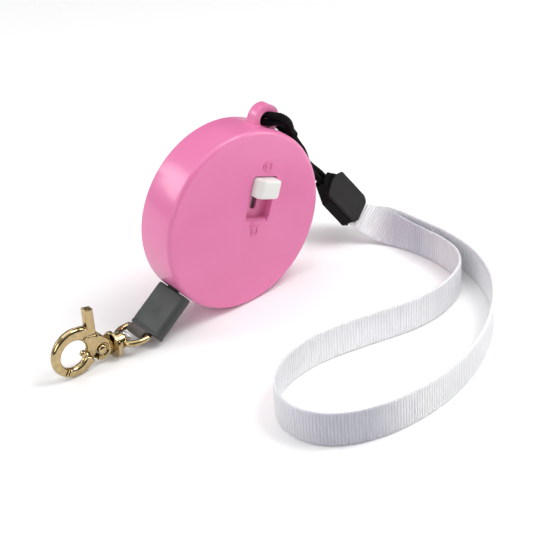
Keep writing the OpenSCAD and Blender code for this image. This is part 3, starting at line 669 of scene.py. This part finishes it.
CAD_FINISH = {
    "front_case": "case_pink", "rear_cover": "case_pink", "case_screws": "steel",
    "outlet_guide": "black_plastic", "guide_pins": "steel", "arbor": "brass",
    "reel": "white_plastic", "reel_cover": "white_plastic", "reel_washers": "steel",
    "power_spring": "spring_steel", "tape_coil": "tape", "tape_run": "tape",
    "lock_plate": "black_plastic", "brake_pad": "sleeve_rubber", "detent_spring": "steel",
    "tape_crimp": "steel", "trigger_spring": "steel",
}
CASE_EDGES = {"front_case": 0.22, "rear_cover": 0.3}


def finish_cad():
    """Materials on the CAD nodes that show as they are, and worn edges on the case's halves."""
    for name, slot in CAD_FINISH.items():
        set_material(NODES[name], slot)
    for name, width in CASE_EDGES.items():
        weld = NODES[name].modifiers.new("weld", "WELD")
        weld.merge_threshold = 1e-6
        flat = NODES[name].modifiers.new("flat", "DECIMATE")
        flat.decimate_type = "DISSOLVE"
        flat.angle_limit = math.radians(1.0)
        edge = NODES[name].modifiers.new("edge", "BEVEL")
        edge.width = width * MM
        edge.segments = 3
        edge.limit_method = "ANGLE"
        edge.angle_limit = math.radians(38)
        edge.harden_normals = True


# ---- floor and light ----

def make_stage():
    """A plain pale floor just below the case."""
    side, z = 3, -0.0331
    floor = Mat("floor_paper", rgb(250, 250, 250), 0.7)
    floor.bump(floor.noise(1.5, 3), 0.01)
    # The far floor stays as pale as the lit part round the object
    far = floor.node("ShaderNodeVectorMath", operation="LENGTH")
    floor.link(floor.coords(), far.inputs[0])
    glow = floor.spread(far.outputs["Value"], 0, 0.9, 350, 1300)
    floor.link(glow, floor.shader.inputs["Emission Strength"])
    floor.shader.inputs["Emission Color"].default_value = (1, 1, 1, 1)
    mesh = bpy.data.meshes.new("floor")
    corners = [(-side, -side, z), (side, -side, z), (side, side, z), (-side, side, z)]
    mesh.from_pydata(corners, [], [(0, 1, 2, 3)])
    obj = bpy.data.objects.new("floor", mesh)
    obj.data.materials.append(floor.material)
    bpy.context.scene.collection.objects.link(obj)


# Grey of the room by height, from straight down at 0 to straight up at 1
ROOM = ((0.0, 0.5), (0.49, 0.55), (0.52, 0.04), (0.68, 0.08), (0.76, 0.8), (0.88, 1.0), (1.0, 0.8))

# Soft area lights: name, place in metres, size in metres and power
LIGHTS = (
    ("key", (0.35, -0.32, 0.7), 0.35, 3.3),
    ("fill", (-0.75, -0.2, 0.35), 0.45, 1.9),
    ("sheen", (-0.55, 0.7, 0.5), 0.4, 3.2),
    ("top", (0.0, 0.1, 0.9), 0.9, 3.6),
    ("kick", (0.24, -0.22, 0.08), 0.1, 0.3),
)


def make_room():
    """The room that the metal reflects: pale below and above, with a dark band between."""
    world = bpy.data.worlds.new("studio")
    bpy.context.scene.world = world
    world.use_nodes = True
    nodes, links = world.node_tree.nodes, world.node_tree.links
    room = nodes["Background"]
    room.inputs["Strength"].default_value = 0.34
    place = nodes.new("ShaderNodeTexCoord")
    parts = nodes.new("ShaderNodeSeparateXYZ")
    links.new(place.outputs["Generated"], parts.inputs[0])
    height = nodes.new("ShaderNodeMath")
    height.operation = "MULTIPLY_ADD"
    height.inputs[1].default_value = 0.5
    height.inputs[2].default_value = 0.5
    links.new(parts.outputs["Z"], height.inputs[0])
    bands = nodes.new("ShaderNodeValToRGB")
    grey_ramp(bands.color_ramp, ROOM)
    links.new(height.outputs[0], bands.inputs["Fac"])
    links.new(bands.outputs["Color"], room.inputs["Color"])
    # Seen directly, the room behind the floor is plain and pale
    plain = nodes.new("ShaderNodeBackground")
    plain.inputs["Color"].default_value = (1, 1, 1, 1)
    plain.inputs["Strength"].default_value = 0.95
    ray = nodes.new("ShaderNodeLightPath")
    mix = nodes.new("ShaderNodeMixShader")
    links.new(ray.outputs["Is Camera Ray"], mix.inputs["Fac"])
    links.new(room.outputs["Background"], mix.inputs[1])
    links.new(plain.outputs["Background"], mix.inputs[2])
    links.new(mix.outputs["Shader"], nodes["World Output"].inputs["Surface"])


def make_lights():
    """Area lights, each turned to the object's middle."""
    target = Vector((0, 0, -0.01))
    for name, place, size, power in LIGHTS:
        data = bpy.data.lights.new(name, "AREA")
        data.size = size
        data.energy = power
        obj = bpy.data.objects.new(name, data)
        obj.location = place
        obj.rotation_euler = (target - Vector(place)).to_track_quat("-Z", "Y").to_euler()
        bpy.context.scene.collection.objects.link(obj)


# ---- the scene ----

aim_camera()
MATERIALS = make_materials()

cord, cord_path = make_cord()
web = make_webbing()
keeper = cast("cord_keeper", "cord_hitch", 0.12, 2, "strap", "black_cord")
clip_base = cast("clip_base_shell", "clip_base", 0.22, 5, "strap", "black_plastic")
clip_cover = cast("clip_cover_shell", "clip_cover", 0.2, 5, "strap", "clip_face")

cast("hook_casting", "hook_body", 0.13, 10, "hook", "gold_plate", hook_shape)
cast("trigger_casting", "trigger", 0.13, 10, "trigger", "gold_plate", hook_shape)
cast("swivel_eye_casting", "swivel_eye", 0.13, 4, "eye", "gold_plate")
make_rivet()
make_stem_dome()
make_sleeve()
make_tongue()
make_tape_fold()
make_pull_tape()
cast("lock_knob_cap", "lock_knob", 0.24, 60, "lock", "white_plastic")
finish_cad()

make_stage()
make_room()
make_lights()
bpy.context.scene.view_settings.view_transform = "Standard"
